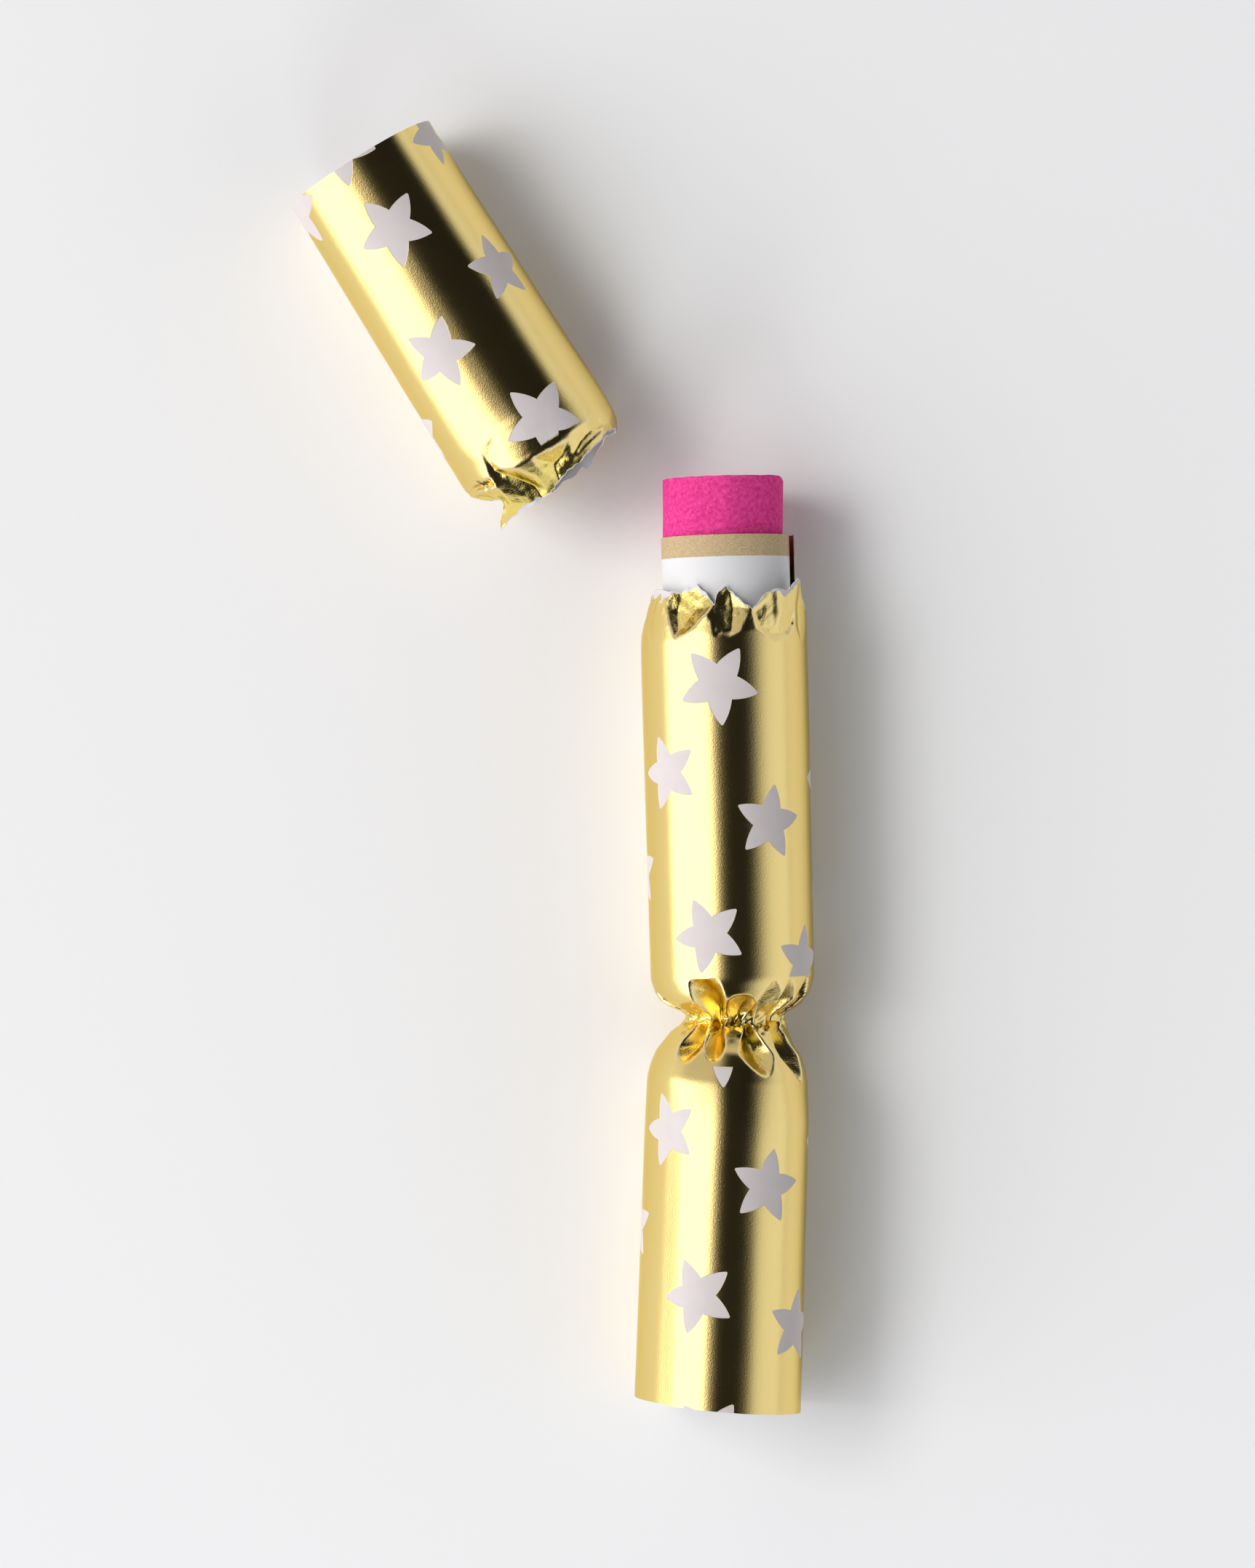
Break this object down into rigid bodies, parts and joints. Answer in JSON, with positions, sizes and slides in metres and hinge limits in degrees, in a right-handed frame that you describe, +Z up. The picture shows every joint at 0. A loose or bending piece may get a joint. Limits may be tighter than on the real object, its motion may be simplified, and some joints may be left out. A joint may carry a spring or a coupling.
{
  "type": "christmas cracker",
  "caption": "Foil-wrapped table cracker pulled open: barrel with one crimped end, the torn-off end beside it, rolled slip and paper hat in the barrel's torn mouth.",
  "frame": {"origin": "on the table under the middle of the whole layout's bounding box", "axes": "+Y along the cracker from its kept end towards its torn mouth, +X to the right of that, +Z up"},
  "size_m": [0.0776, 0.1904, 0.0246],
  "materials": {
    "foil_paper": "gold foil, gloss",
    "liner_card": "matt",
    "snap_card": "matt",
    "sleeve_paper": "matt",
    "kraft_paper": "matt, white printed side",
    "pink_tissue": "matt tissue"
  },
  "bodies": {
    "barrel": {"barrel_wrapper": "foil_paper", "barrel_liner": "liner_card", "neck_gather": "foil_paper", "snap_strip_gripped": "snap_card", "snap_sleeve": "sleeve_paper"},
    "kept_end": {"end_wrapper": "foil_paper", "end_liner": "liner_card"},
    "torn_end": {"torn_end_wrapper": "foil_paper", "torn_end_liner": "liner_card"},
    "loose_strip": {"snap_strip_loose": "snap_card"},
    "slip": {"motto_slip": "kraft_paper"},
    "hat": {"paper_hat": "pink_tissue"}
  },
  "joints": [
    {"name": "neck_flex", "type": "hinge", "parent": "barrel", "child": "kept_end", "pos_m": [0.0267, -0.03767, 0.0123], "axis": [0, 0, 1], "range_deg": [-15, 15], "deforming": ["neck_gather"]},
    {"name": "slip_slide", "type": "slide", "parent": "barrel", "child": "slip", "axis": [-0.0253, 0.9997, 0], "range_m": [-0.008, 0.045]},
    {"name": "hat_slide", "type": "slide", "parent": "slip", "child": "hat", "axis": [-0.0253, 0.9997, 0], "range_m": [-0.012, 0.045]},
    {"name": "snap_pull", "type": "slide", "parent": "barrel", "child": "loose_strip", "axis": [-0.0253, 0.9997, 0], "range_m": [0, 0.05]},
    {"name": "torn_end_pull", "type": "slide", "parent": "barrel", "child": "torn_end", "axis": [-0.5299, 0.848, 0], "range_m": [0, 0.1]}
  ]
}
